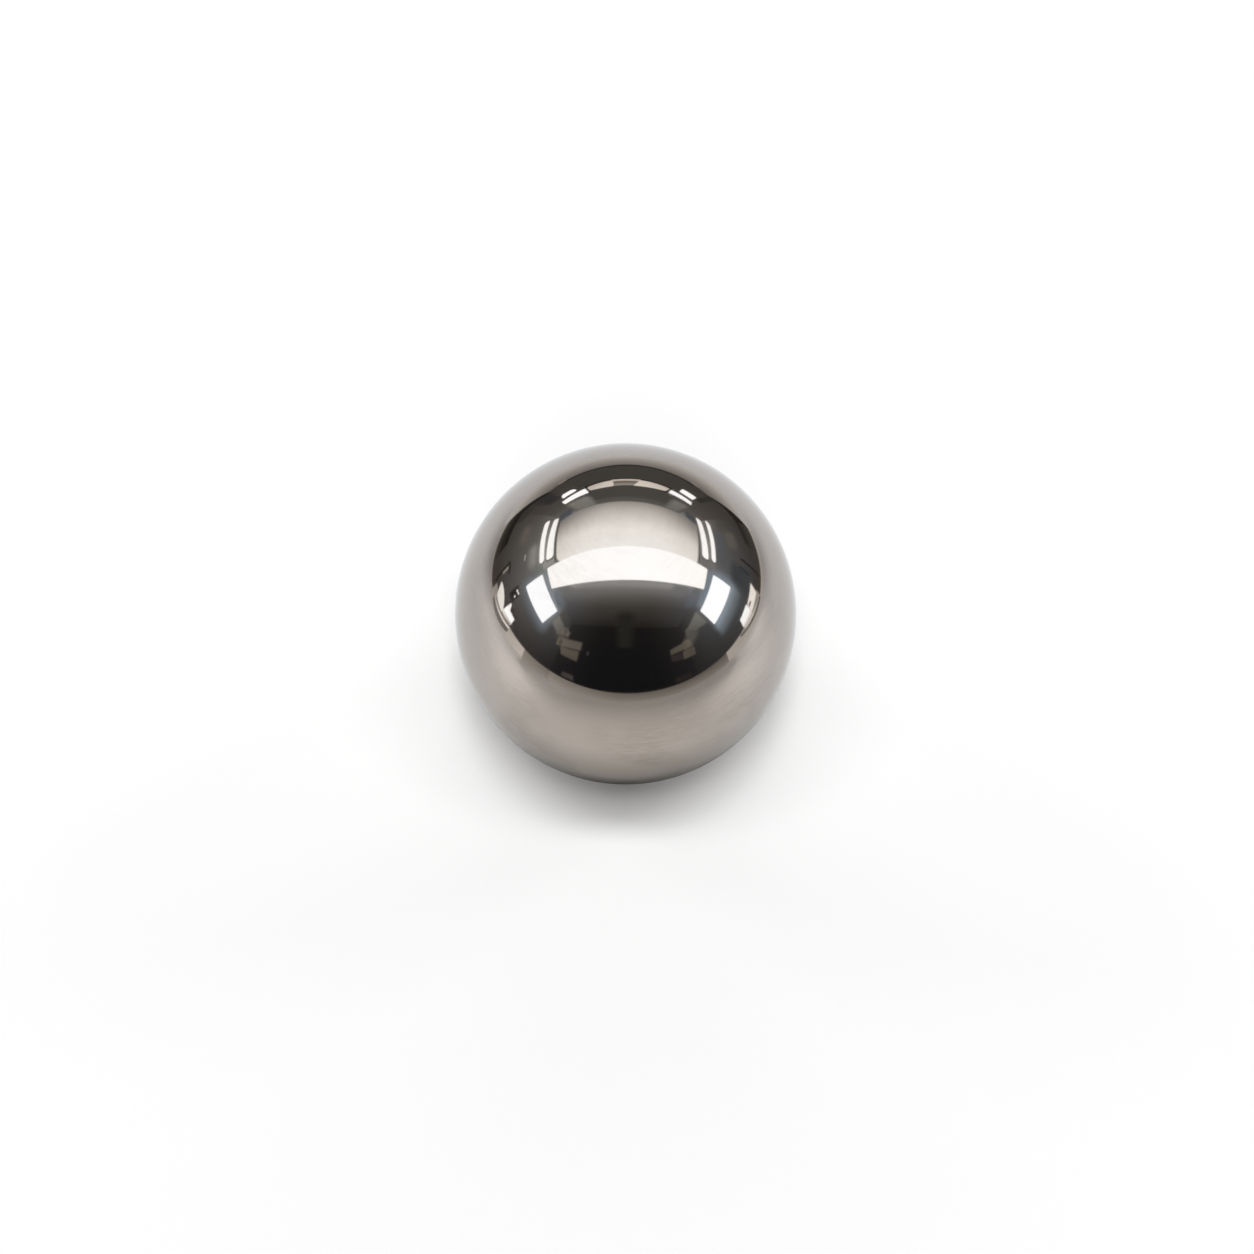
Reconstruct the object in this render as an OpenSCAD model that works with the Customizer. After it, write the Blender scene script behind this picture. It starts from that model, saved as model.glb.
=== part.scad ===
// Polished steel ball. One solid piece: forged, ground and lapped round, with no flat, seam or bore.
// Millimetres. The origin is the centre of the ball and +Z points up, away from what it lies on.

/* [Ball] */
// Diameter of the finished ball
ball_d = 25.4; // [3:0.1:100]

/* [Hidden] */
// Radius, which is also the height of the ball's centre above a flat surface
ball_r = ball_d / 2;
// Flats round the ball in a preview
preview_fn = 180;

// The whole ball is a true sphere
module ball() {
    color("silver")
        sphere(r = ball_r, $fn = preview_fn);
}

ball();
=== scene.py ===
import math

import bmesh
import bpy
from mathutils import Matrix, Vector


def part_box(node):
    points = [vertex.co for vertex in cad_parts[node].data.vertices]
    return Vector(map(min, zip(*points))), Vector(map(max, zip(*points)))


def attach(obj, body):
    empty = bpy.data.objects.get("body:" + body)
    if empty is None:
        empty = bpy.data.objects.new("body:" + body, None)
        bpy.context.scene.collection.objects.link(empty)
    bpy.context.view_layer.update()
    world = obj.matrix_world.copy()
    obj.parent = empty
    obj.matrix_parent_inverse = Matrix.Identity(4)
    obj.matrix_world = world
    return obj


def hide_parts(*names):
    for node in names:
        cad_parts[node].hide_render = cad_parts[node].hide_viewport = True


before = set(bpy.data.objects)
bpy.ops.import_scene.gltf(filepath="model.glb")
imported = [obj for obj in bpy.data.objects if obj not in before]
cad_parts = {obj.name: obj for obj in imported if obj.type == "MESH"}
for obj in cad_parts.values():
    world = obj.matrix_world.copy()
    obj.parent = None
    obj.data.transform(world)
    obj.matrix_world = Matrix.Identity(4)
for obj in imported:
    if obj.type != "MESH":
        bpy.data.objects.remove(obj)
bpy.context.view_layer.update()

lowCorner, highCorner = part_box("ball")
radius = (highCorner.z - lowCorner.z) / 2
centre = Vector((0, 0, highCorner.z - radius))
print("frame loaded, ball radius %.2f mm" % (radius * 1000))


# Helpers

def toLinear(hexColour):
    values = []
    for at in (1, 3, 5):
        v = int(hexColour[at:at + 2], 16) / 255
        values.append(v / 12.92 if v <= 0.04045 else ((v + 0.055) / 1.055) ** 2.4)
    return values


def addNode(tree, kind, settings=None, links=None):
    # links: socket name or number of the new node -> a value, or (node, output)
    node = tree.nodes.new(kind)
    for name, value in (settings or {}).items():
        setattr(node, name, value)
    for socket, source in (links or {}).items():
        if isinstance(source, tuple) and isinstance(source[0], bpy.types.Node):
            tree.links.new(source[0].outputs[source[1]], node.inputs[socket])
        else:
            node.inputs[socket].default_value = source
    return node


def newMaterial(name):
    material = bpy.data.materials.new(name)
    material.use_nodes = True
    material.node_tree.nodes.clear()
    return material, material.node_tree


def meshObject(name, bm, material, smooth=False):
    mesh = bpy.data.meshes.new(name)
    for face in bm.faces:
        face.smooth = smooth
    bm.to_mesh(mesh)
    bm.free()
    mesh.materials.append(material)
    obj = bpy.data.objects.new(name, mesh)
    bpy.context.scene.collection.objects.link(obj)
    return obj


# The ball

ball = {
    "subdivisions": 7,        # 81,920 small triangles, so that straight things stay straight in the mirror
    "steel": "#AEA59F",       # bare chrome steel is a slightly warm grey
    "steelWorn": "#978E87",   # a little darker where the lapping lines lie closest
    "steelMean": "#ACA39D",   # the two together, which the studio's colours are divided by
    "roughness": 0.05,
    "roughSpread": 0.012,     # how far the haze makes it rougher or smoother
    "lapSpacingMm": 1.2,      # real lapping lines are microns apart; drawn coarser so that they show
    "lapStretch": 7,          # how much longer they are round the ball than high
    "lapTint": 1.1,           # how strongly they darken the steel
    "lapHeightMm": 0.00002,
    "lapPatchMm": 6.0,        # size of the patches in which they come and go
    "lapFull": -0.15,         # height in radii below which they show in full
    "lapFaint": 0.45,         # height above which only the faint share is left
    "lapFaintShare": 0.3,
    "hazeSizeMm": 5.0,        # soft cloudy patches left by tumbling
}


def polishedBearingSteel():
    # Through-hardened chrome steel, ground and then lapped between grooved plates. It mirrors the whole room
    # sharply, with a slight blur, and the lapping leaves very faint short arcs in soft patches.
    material, tree = newMaterial("polished_bearing_steel")
    place = addNode(tree, "ShaderNodeTexCoord")
    flat = addNode(tree, "ShaderNodeMapping",
                   links={"Vector": (place, "Object"), "Scale": (1, 1, ball["lapStretch"])})
    arcs = addNode(tree, "ShaderNodeTexNoise", {"noise_dimensions": "3D"},
                   {"Vector": (flat, 0), "Scale": 1000 / ball["lapSpacingMm"], "Detail": 4.0,
                    "Roughness": 0.62})
    breaks = addNode(tree, "ShaderNodeTexNoise", {"noise_dimensions": "3D"},
                     {"Vector": (place, "Object"), "Scale": 1000 / ball["lapPatchMm"], "Detail": 2.0})
    shown = addNode(tree, "ShaderNodeMapRange", {"interpolation_type": "SMOOTHSTEP"},
                    {"Value": (breaks, 0), "From Min": 0.35, "From Max": 0.62})
    arcTone = addNode(tree, "ShaderNodeMapRange",
                      links={"Value": (arcs, 0), "From Min": 0.3, "From Max": 0.7})
    height = addNode(tree, "ShaderNodeSeparateXYZ", links={0: (place, "Object")})
    lower = addNode(tree, "ShaderNodeMapRange", {"interpolation_type": "SMOOTHSTEP"},
                    {"Value": (height, "Z"), "From Min": ball["lapFull"] * radius,
                     "From Max": ball["lapFaint"] * radius, "To Min": 1.0, "To Max": ball["lapFaintShare"]})
    patches = addNode(tree, "ShaderNodeMath", {"operation": "MULTIPLY"}, {0: (shown, 0), 1: (lower, 0)})
    arcShare = addNode(tree, "ShaderNodeMath", {"operation": "MULTIPLY"}, {0: (arcTone, 0), 1: (patches, 0)})
    arcTint = addNode(tree, "ShaderNodeMath", {"operation": "MULTIPLY"},
                      {0: (arcShare, 0), 1: ball["lapTint"]})
    colour = addNode(tree, "ShaderNodeMix", {"data_type": "RGBA"},
                     {0: (arcTint, 0), 6: (*toLinear(ball["steel"]), 1),
                      7: (*toLinear(ball["steelWorn"]), 1)})
    haze = addNode(tree, "ShaderNodeTexNoise", {"noise_dimensions": "3D"},
                   {"Vector": (place, "Object"), "Scale": 1000 / ball["hazeSizeMm"], "Detail": 3.0})
    rough = addNode(tree, "ShaderNodeMapRange",
                    links={"Value": (haze, 0), "From Min": 0.3, "From Max": 0.7,
                           "To Min": ball["roughness"] - ball["roughSpread"],
                           "To Max": ball["roughness"] + ball["roughSpread"]})
    relief = addNode(tree, "ShaderNodeBump", links={"Height": (arcShare, 0), "Strength": 1.0,
                                                    "Distance": ball["lapHeightMm"] / 1000})
    steel = addNode(tree, "ShaderNodeBsdfPrincipled",
                    links={"Base Color": (colour, 2), "Metallic": 1.0, "Roughness": (rough, 0),
                           "Normal": (relief, 0)})
    addNode(tree, "ShaderNodeOutputMaterial", links={"Surface": (steel, 0)})
    return material


def makeBall():
    bm = bmesh.new()
    bmesh.ops.create_icosphere(bm, subdivisions=ball["subdivisions"], radius=radius)
    for vert in bm.verts:
        vert.co = vert.co.normalized() * radius + centre   # every corner on the true sphere
    bmesh.ops.recalc_face_normals(bm, faces=bm.faces)
    return meshObject("polished_ball", bm, polishedBearingSteel(), smooth=True)


steelBall = makeBall()
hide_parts("ball")
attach(steelBall, "root")
print("ball made")


# The floor

floor = {
    "colour": "#FDFDFD",      # matt white paper
    "reach": 0.20,            # radius of the sheet
    "fadeFrom": 0.13,         # from here out it fades into the white round it
}


def mattPaper():
    # Plain matt paper: no gloss at all, so only the ball's own soft shadow shows on it.
    material, tree = newMaterial("matt_paper")
    place = addNode(tree, "ShaderNodeTexCoord")
    away = addNode(tree, "ShaderNodeVectorMath", {"operation": "LENGTH"}, {0: (place, "Object")})
    fade = addNode(tree, "ShaderNodeMapRange", {"interpolation_type": "SMOOTHSTEP"},
                   {"Value": (away, "Value"), "From Min": floor["fadeFrom"], "From Max": floor["reach"]})
    paper = addNode(tree, "ShaderNodeBsdfDiffuse", links={"Color": (*toLinear(floor["colour"]), 1)})
    clear = addNode(tree, "ShaderNodeBsdfTransparent")
    both = addNode(tree, "ShaderNodeMixShader", links={0: (fade, 0), 1: (paper, 0), 2: (clear, 0)})
    addNode(tree, "ShaderNodeOutputMaterial", links={"Surface": (both, 0)})
    return material


def makeFloor():
    bm = bmesh.new()
    bmesh.ops.create_circle(bm, cap_ends=True, segments=96, radius=floor["reach"])
    bmesh.ops.translate(bm, verts=bm.verts, vec=(0, 0, centre.z - radius))
    return meshObject("paper_floor", bm, mattPaper())


paperFloor = makeFloor()
print("floor laid")


# The paper as the steel sees it

# A clear sheet just above the paper that only the steel sees. It dims and brightens the paper's mirror
# image, as uneven studio light would, while the paper itself stays plain white. It is an aid to the look, not
# a model of a real thing. Directions are degrees round the ball from the front to the right, and distances are
# in radii of the ball.

veil = {
    "tone": "#A59F9B",        # the paper as it looks in the steel
    "frontTone": "#ABA299",   # and in front, where it is a little warmer
    "underDim": 0.80,         # how much of the light is lost right under the ball, on the camera's side
    "underTurn": 6,           # the dimmest line lies this many degrees to the right
    "underEnds": (0.5, 1.95),               # from where to where this clears
    "underPower": 1.8,        # how closely it keeps to the front
    "shadeDim": 0.45,         # how much of the light is lost in the wide shade in front
    "shadeGrows": (2.2, 10.0),              # from where to where it deepens
    "shadeEdges": [(44, 65), (-38, -60)],   # where it ends on each side, at the two distances below
    "shadeEdgesAt": (2.5, 7.0),
    "shadeSlow": 24,          # degrees over which its edge fades
    "shadeSharp": 2.5,        # the same for the sharp part of the edge
    "shadeSharpShare": 0.6,   # how much of the edge is sharp, far out
    "shadeSharpens": (3.0, 8.0),            # from where to where it gets so
    "patches": [              # broad patches of more or less light
        dict(towards=70, away=3.8, wide=36, deep=0.8, gain=0.30),     # on the right softbox's side
        dict(towards=88, away=8.0, wide=20, deep=0.5, gain=0.28),
        dict(towards=-64, away=4.6, wide=30, deep=1.0, gain=0.44),    # on the left softbox's side
        dict(towards=-92, away=7.0, wide=30, deep=0.7, gain=0.20),
        dict(towards=-42, away=10.0, wide=24, deep=0.6, gain=0.12),
        dict(towards=120, away=14.0, wide=32, deep=1.1, gain=-0.44),  # darker towards the rear corners
        dict(towards=-120, away=14.0, wide=32, deep=1.1, gain=-0.46),
    ],
    "lift": 0.00002,          # height above the paper in metres
}


def paperVeil():
    # A clear sheet that only the steel sees. It dims or brightens what lies under it by its own colour.
    material, tree = newMaterial("paper_veil")
    material.cycles.emission_sampling = "NONE"
    tint = addNode(tree, "ShaderNodeAttribute", {"attribute_name": "veilTint"})
    dim = addNode(tree, "ShaderNodeVectorMath", {"operation": "MINIMUM"},
                  {0: (tint, "Vector"), 1: (1, 1, 1)})
    extra = addNode(tree, "ShaderNodeVectorMath", {"operation": "SUBTRACT"},
                    {0: (tint, "Vector"), 1: (dim, 0)})
    clear = addNode(tree, "ShaderNodeBsdfTransparent", links={"Color": (dim, 0)})
    glow = addNode(tree, "ShaderNodeEmission", links={"Color": (extra, 0)})
    both = addNode(tree, "ShaderNodeAddShader", links={0: (clear, 0), 1: (glow, 0)})
    addNode(tree, "ShaderNodeOutputMaterial", links={"Surface": (both, 0)})
    return material


def eased(low, high, value):
    # 0 below low, 1 above high, with a smooth rise between them
    share = min(max((value - low) / (high - low), 0), 1)
    return share * share * (3 - 2 * share)


def frontShade(degrees, away):
    # Share of the light lost in the front shade. Its edge is soft near the ball and sharper further out.
    cover = 1
    first, second = veil["shadeEdgesAt"]
    along = min(math.log(max(away, 1) / first) / math.log(second / first), 1.2)   # then it runs straight
    sharpness = veil["shadeSharpShare"] * eased(*veil["shadeSharpens"], away)
    for nearEnd, farEnd in veil["shadeEdges"]:
        end = nearEnd + (farEnd - nearEnd) * along
        beyond = (degrees - end) * (1 if end > 0 else -1)
        slow = eased(-veil["shadeSlow"], veil["shadeSlow"], beyond)
        sharp = eased(-veil["shadeSharp"], veil["shadeSharp"], beyond)
        cover *= 1 - slow - (sharp - slow) * sharpness
    near, far = veil["shadeGrows"]
    return veil["shadeDim"] * cover * eased(0, math.log(far / near), math.log(away / near))


def veilTint(x, y):
    # The veil's colour at a place on the paper, as a share of what lies under it.
    away = max(math.hypot(x, y) / radius, 0.1)
    degrees = math.degrees(math.atan2(x, -y))
    frontness = (1 + math.cos(math.radians(degrees))) / 2
    lee = (1 + math.cos(math.radians(degrees - veil["underTurn"]))) / 2
    light = 1 - veil["underDim"] * lee ** veil["underPower"] * (1 - eased(*veil["underEnds"], away))
    light -= frontShade(degrees, away)
    for patch in veil["patches"]:
        aside = abs((degrees - patch["towards"] + 180) % 360 - 180) / patch["wide"]
        apart = abs(math.log(away / patch["away"])) / patch["deep"]
        light += patch["gain"] * (1 - eased(0, 1, aside)) * (1 - eased(0, 1, apart))
    # where the paper fades out, what lies behind it shows through, and that has its own tone already
    clear = eased(floor["fadeFrom"], floor["reach"], away * radius)
    tint = []
    for rear, front, base in zip(*map(toLinear, (veil["tone"], veil["frontTone"], ball["steelMean"]))):
        ratio = light * (rear + (front - rear) * frontness ** 2) / base
        tint.append(ratio / (1 - clear + clear * ratio))
    return tint


def makeVeil():
    bm = bmesh.new()
    bmesh.ops.create_cone(bm, cap_ends=False, segments=180, radius1=0.4, radius2=1.3, depth=1.0)
    spokes = [e for e in bm.edges if abs(e.verts[0].co.z - e.verts[1].co.z) > 0.5]
    bmesh.ops.subdivide_edges(bm, edges=spokes, cuts=64)
    tintLayer = bm.verts.layers.float_color.new("veilTint")
    innermost, outermost = math.log(0.1), math.log(floor["reach"] / radius)
    for vert in bm.verts:
        # rings from under the ball outwards
        away = radius * math.exp(innermost + (outermost - innermost) * (vert.co.z + 0.5))
        angle = math.atan2(vert.co.y, vert.co.x)
        x, y = away * math.cos(angle), away * math.sin(angle)
        vert[tintLayer] = veilTint(x, y) + [1]
        vert.co = Vector((x, y, centre.z - radius + veil["lift"]))
    sheet = meshObject("paper_veil", bm, paperVeil())
    sheet.visible_camera = False
    sheet.visible_diffuse = False
    sheet.visible_shadow = False
    return sheet


makeVeil()
print("veil laid")


# The studio that the steel mirrors

# Every card is a painted reflection that only the steel sees: it glows with painted light and shade.
# Each card stands on a wall 1 m from the ball, or at "depth", and is given by its corners on that wall in
# metres: lower left, lower right, upper right, upper left. "seen" is its colour as it looks in the steel: one
# colour, or rows of colours from its lower edge up, each from left to right. "round" is its corner radius,
# "soft" the width over which its edge fades, and "bow" lifts the middle of its lower and upper edge. A nearer
# card hides a farther one, and at the same depth a later card hides an earlier one.

studio = {
    # the room itself, dim, with painted light and shade
    "roomRear": dict(wall="rear", depth=2.0,
                     corners=[(-1.05, -0.3), (1.05, -0.3), (1.05, 1.05), (-1.05, 1.05)],
                     seen=[["#38342F"], ["#38342F"], ["#413C37"], ["#4B4744"], ["#67625D"]]),
    "roomLeft": dict(wall="left", depth=2.0,
                     corners=[(-1.05, -0.05), (1.05, -0.05), (1.05, 1.05), (-1.05, 1.05)],
                     seen=[["#1F1D1C", "#3B3633", "#322E2A"], ["#302E2D", "#646260", "#4C4843"],
                           ["#343230", "#86847F", "#706B68"]]),
    "roomRight": dict(wall="right", depth=2.0,
                      corners=[(-1.05, -0.05), (1.05, -0.05), (1.05, 1.05), (-1.05, 1.05)],
                      seen=[["#2E2A27", "#393736", "#211F1E"], ["#4A4541", "#5A5A5B", "#262423"],
                            ["#969189", "#7A7672", "#222120"]]),
    "roomFront": dict(wall="front", depth=2.0,
                      corners=[(-1.05, -0.05), (1.05, -0.05), (1.05, 1.05), (-1.05, 1.05)],
                      seen=[["#201E1E", "#121112", "#121112", "#201E1E"],
                            ["#2A2725", "#181716", "#181716", "#2E2C2A"]]),
    "roomTop": dict(wall="ceiling", depth=2.0,
                    corners=[(-1.05, -0.2), (1.05, -0.2), (1.05, 1.05), (-1.05, 1.05)], seen="#5E5B56"),
    "roomTopFront": dict(wall="ceiling", depth=2.0,
                         corners=[(-1.05, -1.05), (1.05, -1.05), (1.05, -0.18), (-1.05, -0.18)],
                         seen=[["#302E2C", "#1C1917", "#1C1917", "#302E2C"],
                               ["#504F51", "#3F3B37", "#3A3632", "#464546"],
                               ["#7C7D80", "#8A8784", "#7C7976", "#7A797E"]]),
    # front wall
    "shelfLeftHigh": dict(wall="front",
                          corners=[(-1.14, 0.52), (-0.60, 0.430), (-0.62, 0.54), (-1.14, 0.69)],
                          seen=[["#5E564C", "#47443A"], ["#5A544B", "#4E4A3E"]], soft=0.04,
                          bow=(0.0, 0.02)),
    "shelfLeftLow": dict(wall="front",
                         corners=[(-1.14, 0.35), (-0.80, 0.32), (-0.84, 0.490), (-1.14, 0.515)],
                         seen="#4E4840", soft=0.035),
    "shelfLeftShade": dict(wall="front",
                           corners=[(-0.84, 0.33), (-0.60, 0.33), (-0.60, 0.45), (-0.86, 0.47)],
                           seen="#302A2A", soft=0.03),
    "shelfRightHigh": dict(wall="front",
                           corners=[(0.58, 0.475), (1.14, 0.470), (1.16, 0.67), (0.60, 0.655)],
                           seen=[["#59524A", "#665E54"], ["#544E47", "#645C53"]], soft=0.04),
    "shelfRightLow": dict(wall="front", corners=[(0.59, 0.295), (0.93, 0.335), (1.02, 0.49), (0.60, 0.49)],
                          seen=[["#4A443D", "#544D44"], ["#585046", "#5C554B"]], soft=0.035),
    "shelfTopRight": dict(wall="front", corners=[(0.88, 0.69), (1.30, 0.69), (1.30, 0.94), (1.02, 0.90)],
                          seen="#645C53", soft=0.05),
    "shelfTopLeft": dict(wall="front", corners=[(-1.30, 0.73), (-1.03, 0.73), (-1.12, 0.92), (-1.30, 1.00)],
                         seen="#504B45", soft=0.04),
    "greyCardFront": dict(wall="front",
                          corners=[(0.462, 0.438), (0.502, 0.438), (0.502, 0.512), (0.462, 0.512)],
                          seen="#3A3836", soft=0.012),
    "lowThingRight": dict(wall="front", corners=[(0.57, 0.02), (0.81, 0.02), (0.79, 0.11), (0.60, 0.11)],
                          seen="#3E3937", soft=0.02),
    "lowThingLeft": dict(wall="front", corners=[(-0.92, 0.01), (-0.58, 0.01), (-0.60, 0.12), (-0.90, 0.12)],
                         seen="#26211F", soft=0.03),
    # the paper beyond the sheet, with painted shade that deepens towards the horizon
    "paperFront": dict(wall="front", corners=[(-1.05, -0.30), (1.05, -0.30), (1.05, 0.002), (-1.05, 0.002)],
                       seen=[["#8A8178", "#938A81", "#9A9188"], ["#7D746C", "#857C73", "#90877F"],
                             ["#554E48", "#625B53", "#7C746B"]], soft=0.003),
    # rear wall
    "duskLeft": dict(wall="rear", corners=[(-0.88, 0.10), (-0.54, 0.15), (-0.62, 0.50), (-0.82, 0.50)],
                     seen="#302D2D", soft=0.09),
    "duskRight": dict(wall="rear", corners=[(0.60, 0.17), (0.70, 0.17), (0.70, 0.45), (0.60, 0.45)],
                      seen="#312F2C", soft=0.03),
    "wedgeLeft": dict(wall="rear", corners=[(-1.15, -0.02), (-0.80, 0.10), (-0.80, 0.30), (-1.15, 0.24)],
                      seen="#34312D", soft=0.08),
    "lineFarLeft": dict(wall="rear",
                        corners=[(-1.15, -0.14), (-0.60, 0.165), (-0.60, 0.235), (-1.15, 0.02)],
                        seen="#221E1B", soft=0.035, bow=(-0.02, 0.0)),
    "wedgeRight": dict(wall="rear", corners=[(0.70, 0.02), (1.15, -0.26), (1.15, 0.09), (0.68, 0.145)],
                       seen="#24201C", soft=0.035),
    "lineFarRight": dict(wall="rear", corners=[(0.56, 0.165), (0.90, -0.06), (0.90, 0.06), (0.58, 0.225)],
                         seen="#221F1B", soft=0.035),
    # the paper beyond the sheet, with painted shade that deepens towards the horizon
    "paperRear": dict(wall="rear", corners=[(-1.30, -0.30), (1.24, -0.30), (0.60, 0.180), (-0.60, 0.180)],
                      seen=[["#ADA9A4", "#B1AEAB", "#ADA9A4"], ["#98918A", "#A39C95", "#98918A"],
                            ["#645D57", "#6A635D", "#645D57"]], bow=(0, -0.045), soft=0.005),
    "boardLow": dict(wall="rear", corners=[(-0.47, 0.19), (0.45, 0.19), (0.43, 0.475), (-0.43, 0.475)],
                     seen="#3D3A35", bow=(-0.045, -0.05), soft=0.012),
    "seamRear": dict(wall="rear", corners=[(-0.46, 0.165), (0.46, 0.165), (0.46, 0.195), (-0.46, 0.195)],
                     seen="#231E1B", bow=(-0.045, -0.040), soft=0.010),
    "glintRearLeft": dict(wall="rear",
                          corners=[(-0.51, 0.13), (-0.40, 0.12), (-0.42, 0.165), (-0.50, 0.175)],
                          seen="#80766C", soft=0.015, round=0.02),
    "glintRearRight": dict(wall="rear", corners=[(0.40, 0.12), (0.50, 0.13), (0.49, 0.165), (0.42, 0.155)],
                           seen="#80766C", soft=0.015, round=0.02),
    "boardHigh": dict(wall="rear", corners=[(-0.43, 0.60), (0.48, 0.60), (0.48, 0.92), (-0.43, 0.92)],
                      seen="#44413D", soft=0.05),
    "roofEdge": dict(wall="rear", corners=[(-0.76, 0.84), (0.74, 0.84), (0.74, 1.08), (-0.76, 1.08)],
                     seen=[["#484540"], ["#5C5953"]], soft=0.07),
    "glowLeft": dict(wall="rear", corners=[(-0.76, 0.66), (-0.38, 0.66), (-0.36, 1.08), (-0.74, 1.08)],
                     seen=[["#7B7670"], ["#6E6B65"]], soft=0.10),
    "glowRight": dict(wall="rear", corners=[(0.43, 0.66), (0.72, 0.66), (0.70, 1.06), (0.43, 1.06)],
                      seen=[["#746F68"], ["#66635F"]], soft=0.09),
    "bandLine": dict(wall="rear", corners=[(-0.40, 0.468), (0.39, 0.460), (0.37, 0.625), (-0.39, 0.62)],
                     seen="#1E1916", bow=(-0.040, -0.005), soft=0.012, round=0.03),
    "bandMiddle": dict(wall="rear",
                       corners=[(-0.150, 0.452), (0.10, 0.450), (0.09, 0.605), (-0.150, 0.610)],
                       seen=[["#D6CABE"], ["#A99E93"], ["#564B42"], ["#7E766E"], ["#908980"], ["#5A544E"]],
                       soft=0.008),
    "bandLeft": dict(wall="rear",
                     corners=[(-0.378, 0.502), (-0.13, 0.462), (-0.133, 0.605), (-0.375, 0.600)],
                     seen=[["#B0A499", "#CABEB2"], ["#C9BEB3", "#D3C8BD"]], bow=(-0.006, 0.006), soft=0.008,
                     round=0.03),
    "bandRight": dict(wall="rear", corners=[(0.090, 0.458), (0.36, 0.492), (0.345, 0.582), (0.034, 0.604)],
                      seen=[["#CABEB2", "#B8ACA1"], ["#D5CABF", "#CABFB4"]], bow=(-0.006, 0.008),
                      soft=0.008, round=0.015),
    "windowLeft": dict(wall="rear",
                       corners=[(-0.70, 0.574), (-0.39, 0.510), (-0.39, 0.640), (-0.71, 0.672)],
                       seen="#FFFCFA", soft=0.006, round=0.012, border="#332F2B"),
    "windowRight": dict(wall="rear",
                        corners=[(0.372, 0.503), (0.635, 0.550), (0.672, 0.628), (0.372, 0.596)],
                        seen="#FFFCFA", soft=0.006, round=0.012, border="#332F2B"),
    "paneLeft": dict(wall="rear",
                     corners=[(-0.612, 0.420), (-0.478, 0.414), (-0.452, 0.484), (-0.655, 0.522)],
                     seen="#FFFCFA", soft=0.006, round=0.035, border="#332F2B"),
    "paneRight": dict(wall="rear", corners=[(0.435, 0.375), (0.60, 0.385), (0.61, 0.495), (0.44, 0.47)],
                      seen="#FFFCFA", soft=0.006, round=0.02, border="#332F2B"),
    # left wall
    # the paper beyond the sheet, with painted shade that deepens towards the horizon and, near it, towards the
    # rear
    "paperLeft": dict(wall="left", corners=[(-0.48, -0.30), (1.05, -0.30), (1.05, 0.003), (-0.48, 0.003)],
                      seen=[["#B4ABA3", "#B0A8A1", "#AAA39C", "#ACA7A1"],
                            ["#B9AFA6", "#A89F96", "#857D76", "#958E86"],
                            ["#BBB1A7", "#988F86", "#655F59", "#5C5650"]], soft=0.003),
    "paperLeftShade": dict(wall="left",
                           corners=[(-1.05, -0.30), (-0.47, -0.30), (-0.47, 0.003), (-1.05, 0.003)],
                           seen=[["#998F86", "#A39A92"], ["#857C73", "#8E867E"], ["#6A625A", "#7C746B"]],
                           soft=0.003),
    "darkLowLeft": dict(wall="left", corners=[(0.26, -0.090), (1.15, -0.098), (1.15, 0.03), (0.26, 0.03)],
                        seen="#3C3732", soft=0.012, bow=(-0.012, 0.0)),
    "hazeLeft": dict(wall="left", depth=1.8,
                     corners=[(-0.66, 0.26), (0.16, 0.24), (0.14, 1.00), (-0.70, 1.00)],
                     seen=[["#575A5F"], ["#7E8287"], ["#858789"]], soft=0.19),
    "greyLeft": dict(wall="left", depth=1.8,
                     corners=[(0.03, 0.50), (0.17, 0.50), (0.21, 1.02), (0.07, 1.02)],
                     seen=[["#62625F"], ["#838988"]], soft=0.05),
    "warmLeft": dict(wall="left", depth=1.3,
                     corners=[(0.44, 0.24), (0.86, 0.24), (0.86, 0.50), (0.48, 0.50)], seen="#5C554E",
                     soft=0.14),
    "softboxLeft": dict(wall="left",
                        corners=[(-0.50, 0.445), (0.012, 0.405), (0.038, 0.705), (-0.565, 0.80)],
                        seen="#FCFBFC", soft=0.006, round=0.02),
    "patchLeft": dict(wall="left", corners=[(-0.86, 0.55), (-0.57, 0.57), (-0.60, 0.83), (-0.90, 0.83)],
                      seen=[["#58554F", "#7B7872"], ["#5D5A54", "#787570"]], soft=0.07),
    "cornerGlowLeft": dict(wall="left", depth=1.3,
                           corners=[(-1.20, 0.38), (-0.62, 0.56), (-0.62, 0.74), (-1.20, 0.80)],
                           seen="#4E4B46", soft=0.14),
    "patchFarLeft": dict(wall="left", corners=[(-1.10, 0.70), (-0.91, 0.69), (-0.88, 0.82), (-1.10, 0.88)],
                         seen="#524D47", soft=0.03),
    "patchLowLeft": dict(wall="left", corners=[(-1.10, 0.47), (-0.92, 0.48), (-0.91, 0.59), (-1.10, 0.60)],
                         seen="#4C463F", soft=0.025),
    "glowUnderLeft": dict(wall="left", corners=[(0.10, 0.42), (0.50, 0.44), (0.56, 0.70), (0.12, 0.70)],
                          seen="#827E7A", soft=0.14),
    # a faint painted highlight, hook-shaped
    "glintHookLeft": dict(wall="left", corners=[(0.29, 0.405), (0.38, 0.412), (0.385, 0.448), (0.295, 0.44)],
                     seen="#968F86", soft=0.015, round=0.02),
    "lowShadeLeft": dict(wall="left", corners=[(-0.20, 0.0), (0.01, 0.0), (0.01, 0.17), (-0.20, 0.15)],
                         seen="#3A3331", soft=0.02),
    "lowWindowLeft": dict(wall="left",
                          corners=[(-0.178, 0.030), (0.002, 0.006), (-0.010, 0.100), (-0.178, 0.112)],
                          seen="#FBF9F7", soft=0.006),
    "lowPeakLeft": dict(wall="left",
                        corners=[(-0.085, 0.095), (-0.009, 0.080), (-0.022, 0.150), (-0.042, 0.153)],
                        seen="#F2ECE5", soft=0.008),
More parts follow.
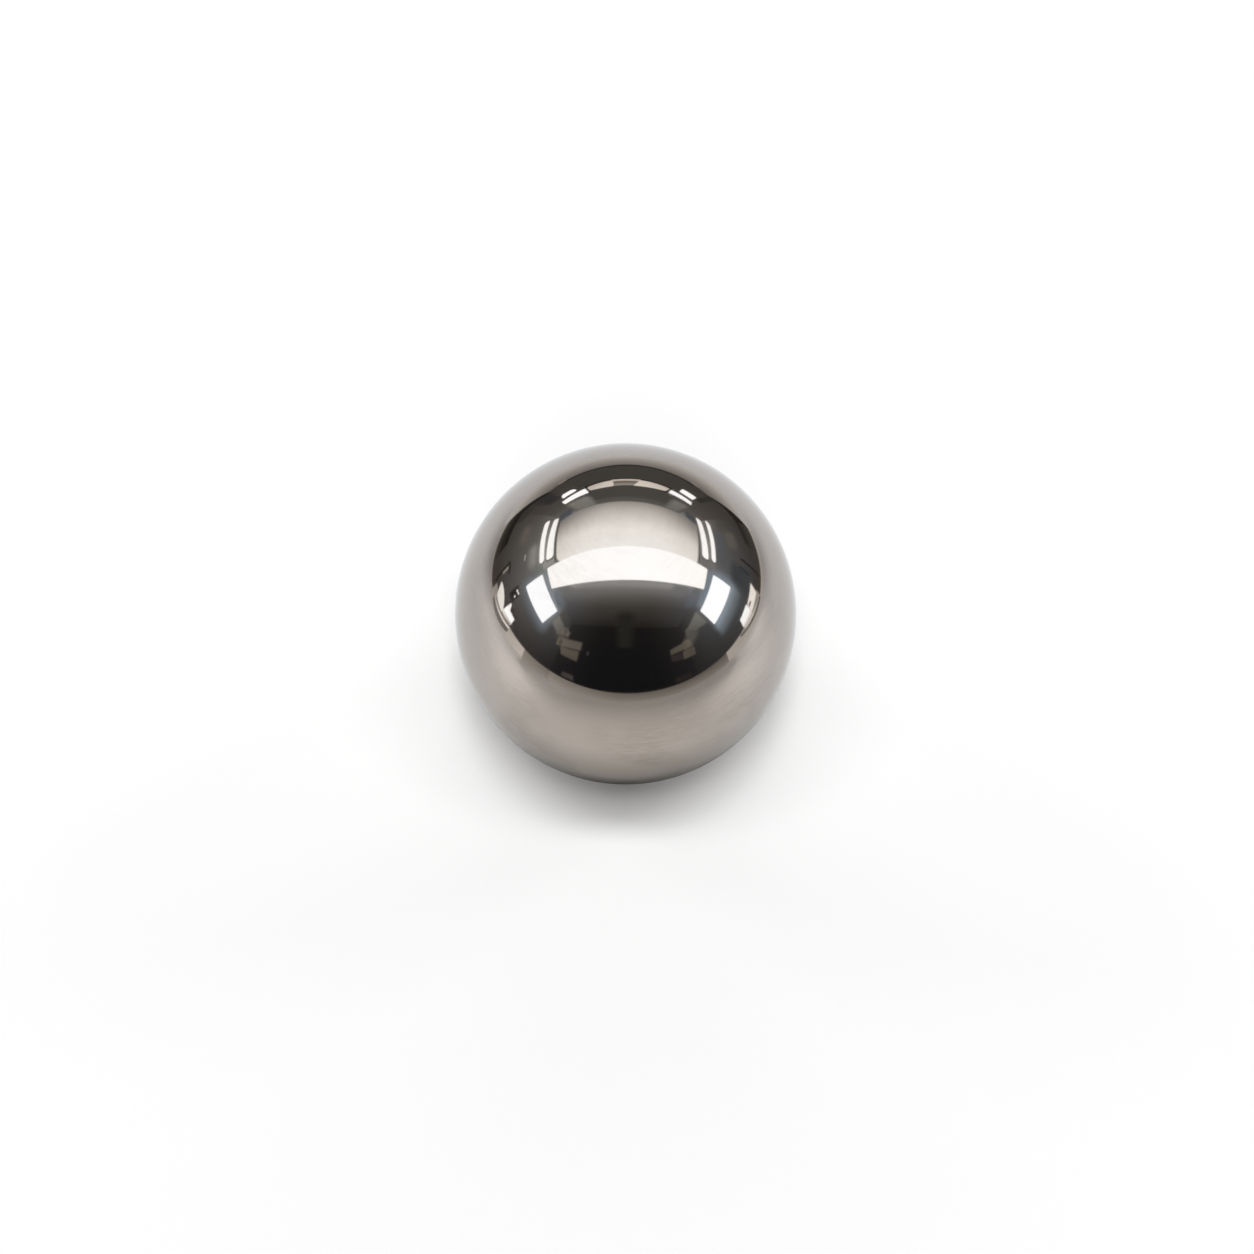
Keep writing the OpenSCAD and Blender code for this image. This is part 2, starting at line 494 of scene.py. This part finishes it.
    "lowSillLeft": dict(wall="left",
                        corners=[(-0.175, 0.012), (0.14, -0.025), (0.10, 0.020), (-0.175, 0.048)],
                        seen=[["#A2978E", "#E0D8CF", "#E8E0D8"]], soft=0.010),
    "lowCreamLeft": dict(wall="left",
                         corners=[(-0.004, -0.018), (0.168, -0.024), (0.246, 0.073), (0.020, 0.045)],
                         seen=[["#E8E0D8", "#D9D1C8"], ["#E0D9D1", "#E2DBD3"]], soft=0.008, round=0.012,
                         bow=(-0.006, 0.034)),
    "rimLeft": dict(wall="left",
                    corners=[(-0.185, -0.075), (0.20, -0.100), (0.19, -0.045), (-0.185, 0.005)],
                    seen=[["#5E5650", "#6E6862", "#66605A"]], soft=0.014, round=0.03, bow=(-0.030, -0.012)),
    "rimGapLeft": dict(wall="left",
                       corners=[(-0.185, 0.004), (0.16, -0.042), (0.16, -0.028), (-0.185, 0.020)],
                       seen=[["#463C36", "#6E645C", "#7E746B"]], bow=(-0.008, -0.008), soft=0.006),
    "rimLineLeft": dict(wall="left",
                        corners=[(-0.180, -0.023), (0.20, -0.066), (0.20, -0.046), (-0.180, -0.003)],
                        seen=[["#EBE4DC", "#E4DCD3", "#9A9289"]], bow=(-0.015, -0.015), soft=0.006),
    "standLeft": dict(wall="left", corners=[(0.280, -0.03), (0.312, -0.03), (0.378, 0.18), (0.346, 0.18)],
                      seen="#1F1B18", soft=0.009),
    "standCoreLeft": dict(wall="left",
                          corners=[(0.288, 0.085), (0.322, 0.085), (0.350, 0.195), (0.305, 0.195)],
                          seen="#857F77", soft=0.012),
    "archLeft": dict(wall="left", corners=[(0.245, 0.160), (0.390, 0.160), (0.395, 0.200), (0.245, 0.195)],
                     seen="#2C2825", bow=(0.010, 0.025), soft=0.014),
    "thingsLeft": dict(wall="left", corners=[(0.47, -0.10), (1.12, -0.10), (1.12, 0.10), (0.62, 0.10)],
                       seen=[["#3D3935"], ["#272420"], ["#161413"]], soft=0.025),
    "glintShadeLeft": dict(wall="left",
                           corners=[(-0.045, 0.15), (0.085, 0.13), (0.095, 0.33), (-0.045, 0.31)],
                           seen="#2C2928", soft=0.035),
    "glintLeft": dict(wall="left",
                      corners=[(-0.022, 0.268), (0.012, 0.266), (0.012, 0.296), (-0.018, 0.296)],
                      seen="#F2EBE2", soft=0.009, round=0.014),
    "glintTopLeft": dict(wall="left",
                         corners=[(0.006, 0.262), (0.048, 0.260), (0.048, 0.288), (0.010, 0.292)],
                         seen="#F0E9E0", soft=0.009, round=0.013),
    "glintLowLeft": dict(wall="left",
                         corners=[(-0.015, 0.204), (0.015, 0.204), (0.015, 0.238), (-0.013, 0.238)],
                         seen="#E2DAD0", soft=0.010, round=0.014),
    "glintDarkLeft": dict(wall="left",
                          corners=[(0.037, 0.190), (0.063, 0.190), (0.063, 0.270), (0.037, 0.268)],
                          seen="#1C1A19", soft=0.014),
    # right wall
    # the paper beyond the sheet, with painted shade that deepens towards the horizon and, near it, towards the
    # rear
    "paperRight": dict(wall="right", corners=[(-1.05, -0.30), (0.45, -0.30), (0.45, 0.002), (-1.05, 0.002)],
                       seen=[["#ADA9A4", "#AEAAA4", "#AFA9A3", "#A9A199"],
                             ["#938C84", "#9A928A", "#A69D95", "#A29990"],
                             ["#5C5650", "#6E6760", "#978E86", "#A0978E"]], soft=0.003),
    "paperRightShade": dict(wall="right",
                            corners=[(0.44, -0.30), (1.05, -0.30), (1.05, 0.002), (0.44, 0.002)],
                            seen=[["#948B82", "#8E857C"], ["#7D756C", "#7A7269"], ["#5A534D", "#58514B"]],
                            soft=0.003),
    "darkLowRight": dict(wall="right",
                         corners=[(-1.15, -0.127), (-0.26, -0.087), (-0.26, 0.03), (-1.15, 0.03)],
                         seen="#3A3530", soft=0.012),
    "hazeRight": dict(wall="right", depth=1.8,
                      corners=[(-0.24, 0.22), (0.46, 0.20), (0.50, 0.92), (-0.22, 0.92)],
                      seen=[["#686F76"], ["#7C868E"], ["#676C72"]], soft=0.15),
    "hazeFarRight": dict(wall="right", depth=1.8,
                         corners=[(-0.84, 0.40), (-0.20, 0.40), (-0.20, 0.70), (-0.84, 0.70)],
                         seen=[["#4D4D4E"], ["#555659"]], soft=0.14),
    "glowUnderRight": dict(wall="right", depth=1.3,
                           corners=[(-0.16, 0.15), (0.44, 0.15), (0.42, 0.44), (-0.14, 0.44)],
                           seen=[["#4C4E50"], ["#5E6367"], ["#828B92"], ["#8A9299"]], soft=0.09),
    "shadeRight": dict(wall="right", depth=1.3,
                       corners=[(-0.46, 0.05), (-0.06, 0.03), (-0.10, 0.44), (-0.42, 0.46)], seen="#3A3B3D",
                       soft=0.13),
    "warmRight": dict(wall="right", depth=1.3,
                      corners=[(-0.85, 0.20), (-0.48, 0.20), (-0.48, 0.52), (-0.85, 0.50)], seen="#56524B",
                      soft=0.14),
    "softboxRight": dict(wall="right",
                         corners=[(-0.085, 0.363), (0.40, 0.384), (0.44, 0.712), (-0.105, 0.672)],
                         seen="#FDFCFD", soft=0.006, round=0.02),
    "patchRight": dict(wall="right", corners=[(0.43, 0.46), (0.70, 0.60), (0.98, 0.80), (0.45, 0.82)],
                       seen=[["#66655F", "#54514B"], ["#7C7A74", "#504D48"]], soft=0.07),
    "cornerGlowRight": dict(wall="right", depth=1.3,
                            corners=[(0.58, 0.50), (1.15, 0.36), (1.15, 0.78), (0.58, 0.74)],
                            seen="#4E4B46", soft=0.14),
    "patchFarRight": dict(wall="right", corners=[(0.86, 0.53), (1.12, 0.52), (1.12, 0.71), (0.93, 0.66)],
                          seen="#5E574F", soft=0.03),
    "patchLowRight": dict(wall="right", corners=[(0.86, 0.38), (1.12, 0.36), (1.12, 0.49), (0.87, 0.48)],
                          seen="#4C463F", soft=0.03),
    "lowWindowRight": dict(wall="right",
                           corners=[(-0.064, 0.005), (0.118, 0.010), (0.110, 0.100), (-0.062, 0.100)],
                           seen=[["#F7F2ED", "#F4EEE8"], ["#FBF9F7", "#FBF9F7"]], soft=0.006,
                           border="#2E2A28"),
    "lowCreamRight": dict(wall="right",
                          corners=[(-0.250, -0.022), (-0.06, -0.016), (-0.062, 0.083), (-0.285, 0.090)],
                          seen=[["#E0D6CC", "#E8E0D8"], ["#E4DBD1", "#E6DDD4"]], soft=0.008, round=0.012),
    "lowSillRight": dict(wall="right",
                         corners=[(-0.07, -0.028), (0.12, -0.002), (0.12, 0.012), (-0.07, 0.012)],
                         seen=[["#DCD3CA", "#CFC5BC"]], soft=0.006),
    "notchRight": dict(wall="right",
                       corners=[(-0.140, 0.030), (-0.075, 0.032), (-0.070, 0.062), (-0.120, 0.058)],
                       seen="#4A4038", soft=0.008),
    "rimRight": dict(wall="right", corners=[(-0.28, -0.060), (0.19, -0.020), (0.19, 0.0), (-0.28, -0.030)],
                     seen="#8A8178", soft=0.010),
    "rimDarkRight": dict(wall="right",
                         corners=[(-0.26, -0.096), (0.20, -0.030), (0.20, -0.006), (-0.26, -0.070)],
                         seen="#38322E", soft=0.008, bow=(-0.014, -0.014)),
    "rimLineRight": dict(wall="right",
                         corners=[(-0.19, -0.066), (0.10, -0.024), (0.10, -0.006), (-0.19, -0.048)],
                         seen=[["#8E857D", "#D8CFC6", "#CFC5BC"]], soft=0.006),
    "standRight": dict(wall="right",
                       corners=[(-0.440, -0.06), (-0.410, -0.06), (-0.440, 0.25), (-0.478, 0.24)],
                       seen="#1F1C1A", soft=0.012),
    "standCoreRight": dict(wall="right",
                           corners=[(-0.350, 0.10), (-0.328, 0.10), (-0.345, 0.27), (-0.372, 0.27)],
                           seen="#1F1E1E", soft=0.013),
    "thingsRight": dict(wall="right",
                        corners=[(-1.12, -0.11), (-0.62, -0.095), (-0.70, 0.10), (-1.12, 0.115)],
                        seen=[["#3C3733"], ["#33302C"], ["#201D1A"]], soft=0.03),
    # ceiling
    "tubeGlowLeft": dict(wall="ceiling", depth=1.3,
                         corners=[(-1.78, 0.05), (-0.95, 0.05), (-0.90, 1.25), (-1.78, 1.30)],
                         seen=[["#93908C"], ["#85827E"], ["#53514D"]], soft=0.16),
    "tubeGlowRight": dict(wall="ceiling", depth=1.3,
                          corners=[(1.00, 0.12), (1.78, 0.15), (1.78, 1.35), (0.95, 1.25)],
                          seen=[["#676463"], ["#797572"], ["#57544F"]], soft=0.14),
    "scrim": dict(wall="ceiling", corners=[(-1.00, 0.10), (1.00, 0.10), (1.03, 1.13), (-1.02, 1.13)],
                  seen=[["#E2DBD3", "#EEEAE4", "#EEEAE4", "#E2DBD3"],
                        ["#CEC7BE", "#E4DED6", "#E4DED6", "#CEC7BE"],
                        ["#86807A", "#B2ABA3", "#B2ABA3", "#86807A"],
                        ["#5A5753", "#6D6963", "#6D6963", "#5A5753"]], soft=0.035, round=0.14),
    "cornerHazeLeft": dict(wall="ceiling",
                           corners=[(-1.10, 0.84), (-0.70, 0.94), (-0.76, 1.20), (-1.10, 1.20)],
                           seen="#494B50", soft=0.10),
    "cornerHazeRight": dict(wall="ceiling",
                            corners=[(0.74, 0.96), (1.10, 0.86), (1.10, 1.20), (0.80, 1.20)],
                            seen="#46484C", soft=0.10),
    "scrimEdgeLeft": dict(wall="ceiling",
                          corners=[(-1.045, 0.14), (-0.995, 0.14), (-0.985, 1.00), (-1.045, 1.00)],
                          seen="#48433E", soft=0.02),
    "scrimEdgeRight": dict(wall="ceiling", corners=[(1.00, 0.20), (1.05, 0.20), (1.05, 1.00), (1.01, 1.00)],
                           seen="#48433E", soft=0.02),
    "arcLow": dict(wall="ceiling", depth=1.5,
                   corners=[(-1.12, -0.48), (0.92, -0.46), (1.00, -0.16), (-1.16, -0.16)], seen="#6C6A68",
                   soft=0.18),
    "arcHigh": dict(wall="ceiling", depth=1.5,
                    corners=[(-0.78, -0.35), (0.62, -0.35), (0.70, -0.18), (-0.88, -0.20)], seen="#858280",
                    bow=(-0.02, 0.0), soft=0.09),
    "blueLeft": dict(wall="ceiling", depth=1.5,
                     corners=[(-1.42, -0.72), (-0.92, -0.72), (-0.92, -0.24), (-1.38, -0.24)],
                     seen=[["#565A5E"], ["#797D81"]], soft=0.16),
    "blueRight": dict(wall="ceiling", depth=1.5,
                      corners=[(0.86, -0.64), (1.40, -0.64), (1.40, -0.20), (0.90, -0.20)],
                      seen=[["#4E5155"], ["#6C7074"]], soft=0.16),
    "cameraColumn": dict(wall="ceiling", depth=1.2,
                         corners=[(-0.24, -1.70), (0.24, -1.70), (0.20, -0.62), (-0.20, -0.62)],
                         seen="#24221F", soft=0.18),
    "tubeLeftOuter": dict(wall="ceiling",
                          corners=[(-1.51, 0.27), (-1.325, 0.27), (-1.32, 1.22), (-1.50, 1.27)],
                          seen=[["#FCF9F6"], ["#FAF6F2"], ["#F6F0EA"]], soft=0.009, round=0.07,
                          border="#5A5049"),
    "tubeLeftInner": dict(wall="ceiling",
                          corners=[(-1.27, 0.25), (-1.055, 0.25), (-1.055, 1.06), (-1.19, 1.11)],
                          seen=[["#FCF9F6"], ["#FAF6F2"], ["#F6F0EA"]], soft=0.009, round=0.06,
                          border="#5A5049"),
    "tubeRightInner": dict(wall="ceiling",
                           corners=[(1.09, 0.335), (1.29, 0.345), (1.185, 1.18), (1.05, 1.19)],
                           seen=[["#FCF9F6"], ["#FAF6F2"], ["#F6F0EA"]], soft=0.009, round=0.06,
                           border="#5A5049"),
    "tubeRightOuter": dict(wall="ceiling",
                           corners=[(1.375, 0.40), (1.555, 0.40), (1.50, 1.37), (1.34, 1.37)],
                           seen=[["#FCF9F6"], ["#FAF6F2"], ["#F6F0EA"]], soft=0.009, round=0.07,
                           border="#5A5049"),
    # painted reflection of a strip lamp, seen only in the steel
    "stripLampReflection": dict(wall="ceiling",
                      corners=[(-1.22, -0.265), (1.285, -0.19), (1.275, 0.185), (-1.255, 0.115)],
                      seen=[["#FAF5F0", "#FEFBF9", "#FEFBF9", "#FBF6F0"]], soft=0.008, round=0.02,
                      bow=(-0.02, 0.02)),
}

wallAxes = {
    # what lies across, up and away, seen from the ball
    "rear": (Vector((1, 0, 0)), Vector((0, 0, 1)), Vector((0, 1, 0))),
    "front": (Vector((-1, 0, 0)), Vector((0, 0, 1)), Vector((0, -1, 0))),
    "left": (Vector((0, 1, 0)), Vector((0, 0, 1)), Vector((-1, 0, 0))),
    "right": (Vector((0, -1, 0)), Vector((0, 0, 1)), Vector((1, 0, 0))),
    "ceiling": (Vector((1, 0, 0)), Vector((0, 1, 0)), Vector((0, 0, 1))),
}


cardValues = {
    "grid": 16,               # squares across and up a card
    "layerStep": 0.002,       # each later card stands this share nearer the ball than the one before it
    "borderWidth": 0.02,      # of the dark border drawn round a bright window, pane or tube, in metres
    "borderSoft": 0.012,
    "borderRound": 0.03,
    "evenness": 0.45,         # power at which a mix of two tones looks even
}


def paintedReflectionCard():
    # A card that glows with its own painted colours: a painted reflection. Its edge fades out over its soft
    # width.
    material, tree = newMaterial("painted_reflection_card")
    material.cycles.emission_sampling = "NONE"
    uv = addNode(tree, "ShaderNodeUVMap", {"uv_map": "card"})
    size = addNode(tree, "ShaderNodeAttribute", {"attribute_name": "cardSize"})
    edge = addNode(tree, "ShaderNodeAttribute", {"attribute_name": "cardEdge"})
    edges = addNode(tree, "ShaderNodeSeparateXYZ", links={0: (edge, "Vector")})
    shifted = addNode(tree, "ShaderNodeVectorMath", {"operation": "SUBTRACT"},
                      {0: (uv, 0), 1: (0.5, 0.5, 0)})
    scaled = addNode(tree, "ShaderNodeVectorMath", {"operation": "MULTIPLY"},
                     {0: (shifted, 0), 1: (size, "Vector")})
    folded = addNode(tree, "ShaderNodeVectorMath", {"operation": "ABSOLUTE"}, {0: (scaled, 0)})
    halved = addNode(tree, "ShaderNodeVectorMath", {"operation": "SCALE"},
                     {0: (size, "Vector"), "Scale": -0.5})
    outward = addNode(tree, "ShaderNodeVectorMath", {"operation": "ADD"}, {0: (folded, 0), 1: (halved, 0)})
    rounding = addNode(tree, "ShaderNodeCombineXYZ", links={0: (edges, 0), 1: (edges, 0)})
    inner = addNode(tree, "ShaderNodeVectorMath", {"operation": "ADD"}, {0: (outward, 0), 1: (rounding, 0)})
    beyond = addNode(tree, "ShaderNodeVectorMath", {"operation": "MAXIMUM"}, {0: (inner, 0), 1: (0, 0, 0)})
    reach = addNode(tree, "ShaderNodeVectorMath", {"operation": "LENGTH"}, {0: (beyond, 0)})
    start = addNode(tree, "ShaderNodeMath", {"operation": "SUBTRACT"}, {0: (edges, 0), 1: (edges, 1)})
    share = addNode(tree, "ShaderNodeMapRange", {"interpolation_type": "SMOOTHSTEP"},
                    {"Value": (reach, "Value"), "From Min": (start, 0), "From Max": (edges, 0),
                     "To Min": 1.0, "To Max": 0.0})
    glow = addNode(tree, "ShaderNodeAttribute", {"attribute_name": "cardGlow"})
    light = addNode(tree, "ShaderNodeEmission", links={"Color": (glow, "Color"), "Strength": 1.0})
    clear = addNode(tree, "ShaderNodeBsdfTransparent")
    both = addNode(tree, "ShaderNodeMixShader", links={0: (share, 0), 1: (clear, 0), 2: (light, 0)})
    addNode(tree, "ShaderNodeOutputMaterial", links={"Surface": (both, 0)})
    return material


def shaded(rows, u, v):
    # Colour at u across and v up a card, mixed between its four nearest tones as evenly as the eye sees it.
    columns = len(rows[0])
    row, across = v * (len(rows) - 1), u * (columns - 1)
    low, left = min(int(row), max(len(rows) - 2, 0)), min(int(across), max(columns - 2, 0))
    high, right = min(low + 1, len(rows) - 1), min(left + 1, columns - 1)
    near, side = row - low, across - left
    corners = [(rows[low][left], (1 - near) * (1 - side)), (rows[low][right], (1 - near) * side),
               (rows[high][left], near * (1 - side)), (rows[high][right], near * side)]
    power = cardValues["evenness"]
    return [sum(share * toLinear(tone)[i] ** power for tone, share in corners) ** (1 / power)
            for i in range(3)]


def makeCard(name, layer, material, wall, corners, seen, depth=1.0, soft=0.0005, round=0.0, bow=(0, 0),
             border=None):
    across, up, away = wallAxes[wall]
    distance = depth * (1 - cardValues["layerStep"] * layer)
    rows = [[seen]] if isinstance(seen, str) else seen
    steel = toLinear(ball["steelMean"])
    bm = bmesh.new()
    bm.loops.layers.uv.new("card")
    bmesh.ops.create_grid(bm, x_segments=cardValues["grid"], y_segments=cardValues["grid"], size=0.5,
                          calc_uvs=True)
    glowLayer = bm.verts.layers.float_color.new("cardGlow")
    sizeLayer = bm.verts.layers.float_vector.new("cardSize")
    edgeLayer = bm.verts.layers.float_vector.new("cardEdge")
    lowerLeft, lowerRight, upperRight, upperLeft = [Vector(c) for c in corners]
    width = ((lowerRight - lowerLeft).length + (upperRight - upperLeft).length) / 2
    height = ((upperLeft - lowerLeft).length + (upperRight - lowerRight).length) / 2
    for vert in bm.verts:
        u, v = vert.co.x + 0.5, vert.co.y + 0.5
        lower = lowerLeft.lerp(lowerRight, u)
        upper = upperLeft.lerp(upperRight, u)
        arch = 1 - (2 * u - 1) ** 2
        lower.y += bow[0] * arch
        upper.y += bow[1] * arch
        spot = lower.lerp(upper, v)
        vert[glowLayer] = [tone / base for tone, base in zip(shaded(rows, u, v), steel)] + [1]
        vert[sizeLayer] = (width, height, 0)
        vert[edgeLayer] = (max(round, soft), soft, 0)
        vert.co = (across * spot.x + up * spot.y + away) * distance + centre
    card = meshObject("card_" + name, bm, material)
    card.visible_camera = False
    card.visible_diffuse = False
    card.visible_shadow = False
    return card


def grown(corners, extra):
    # the same four corners, moved out along their diagonals
    middle = sum((Vector(c) for c in corners), Vector((0, 0))) / 4
    diagonal = 1.4
    return [tuple(Vector(c) + (Vector(c) - middle).normalized() * extra * diagonal) for c in corners]


cardMaterial = paintedReflectionCard()
layers = {}
for cardName, card in studio.items():
    key = (card["wall"], card.get("depth", 1.0))
    if "border" in card:
        layers[key] = layers.get(key, 0) + 1
        outer = grown(card["corners"], cardValues["borderWidth"])
        makeCard(cardName + "Border", layers[key], cardMaterial, card["wall"], outer, card["border"],
                 soft=cardValues["borderSoft"], round=cardValues["borderRound"])
    layers[key] = layers.get(key, 0) + 1
    makeCard(cardName, layers[key], cardMaterial, **card)
print("studio of %d cards hung" % len(studio))


# Lamps and world

lamps = {
    # centre and size across and along in metres; each faces the ball
    "overhead": dict(at=(0.0, -0.30, 1.0), size=(0.20, 0.50), watts=3.73),
    "canopy": dict(at=(0.0, -0.13, 1.0), size=(1.2, 0.20), watts=3.84),
    "frontFill": dict(at=(0.0, -0.80, 1.0), size=(0.35, 0.70), watts=3.66),
    "leftFill": dict(at=(-1.0, 0.50, 0.50), size=(0.40, 0.40), watts=1.76),
    "rightFill": dict(at=(1.0, 0.50, 0.50), size=(0.40, 0.40), watts=1.76),
    "rearFill": dict(at=(0.0, 1.0, 0.18), size=(2.8, 0.40), watts=17.5),
}

world = {
    "white": 1.0,             # what the camera, the steel and clear things see
    "fill": 0.0,              # soft light from all round
}


def makeLamp(name, at, size, watts):
    light = bpy.data.lights.new(name, "AREA")
    light.shape = "RECTANGLE"
    light.size, light.size_y = size
    light.energy = watts
    lamp = bpy.data.objects.new(name, light)
    lamp.location = Vector(at) + centre
    lamp.rotation_euler = (-Vector(at)).to_track_quat("-Z", "Y").to_euler()
    lamp.visible_camera = False
    lamp.visible_glossy = False       # the steel mirrors the cards instead
    bpy.context.scene.collection.objects.link(lamp)
    return lamp


def makeWorld():
    skies = bpy.data.worlds.new("white_room")
    bpy.context.scene.world = skies
    skies.use_nodes = True
    tree = skies.node_tree
    tree.nodes.clear()
    path = addNode(tree, "ShaderNodeLightPath")
    glossy = addNode(tree, "ShaderNodeMath", {"operation": "MAXIMUM"},
                     {0: (path, "Is Camera Ray"), 1: (path, "Is Glossy Ray")})
    seenRay = addNode(tree, "ShaderNodeMath", {"operation": "MAXIMUM"},
                      {0: (glossy, 0), 1: (path, "Is Transmission Ray")})
    strength = addNode(tree, "ShaderNodeMapRange",
                       links={"Value": (seenRay, 0), "To Min": world["fill"], "To Max": world["white"]})
    sky = addNode(tree, "ShaderNodeBackground", links={"Color": (1, 1, 1, 1), "Strength": (strength, 0)})
    addNode(tree, "ShaderNodeOutputWorld", links={"Surface": (sky, 0)})


for lampName, lamp in lamps.items():
    makeLamp(lampName, **lamp)
makeWorld()
print("lamps lit")


# Camera

camera = {
    "elevation": 54.0,        # degrees above the floor
    "roll": 1.5,
    "distance": 20.43,        # in radii of the ball
    "aimRight": 0.008,        # where it aims, off the ball's centre, in radii
    "aimUp": -0.0775,
    "lens": 100,              # focal length in mm
}


def makeCamera():
    data = bpy.data.cameras.new("camera")
    data.lens = camera["lens"]
    data.sensor_width = 36
    data.clip_start = 0.005
    data.clip_end = 10
    seat = bpy.data.objects.new("camera", data)
    bpy.context.scene.collection.objects.link(seat)
    tilt, roll = math.radians(camera["elevation"]), math.radians(camera["roll"])
    back = Vector((0, -math.cos(tilt), math.sin(tilt)))
    flatUp = Vector((0, math.sin(tilt), math.cos(tilt)))
    right = Vector((1, 0, 0)) * math.cos(roll) + flatUp * math.sin(roll)
    up = flatUp * math.cos(roll) - Vector((1, 0, 0)) * math.sin(roll)
    seat.location = centre + back * camera["distance"] * radius
    aim = centre + (right * camera["aimRight"] + up * camera["aimUp"]) * radius
    towards = (aim - seat.location).normalized()
    sideways = towards.cross(up).normalized()
    upright = sideways.cross(towards)
    turn = seat.rotation_euler.to_matrix()
    for i in range(3):
        turn[i][0], turn[i][1], turn[i][2] = sideways[i], upright[i], -towards[i]
    seat.rotation_euler = turn.to_euler()
    bpy.context.scene.camera = seat


makeCamera()
bpy.context.scene.view_settings.view_transform = "Standard"
print("camera set")
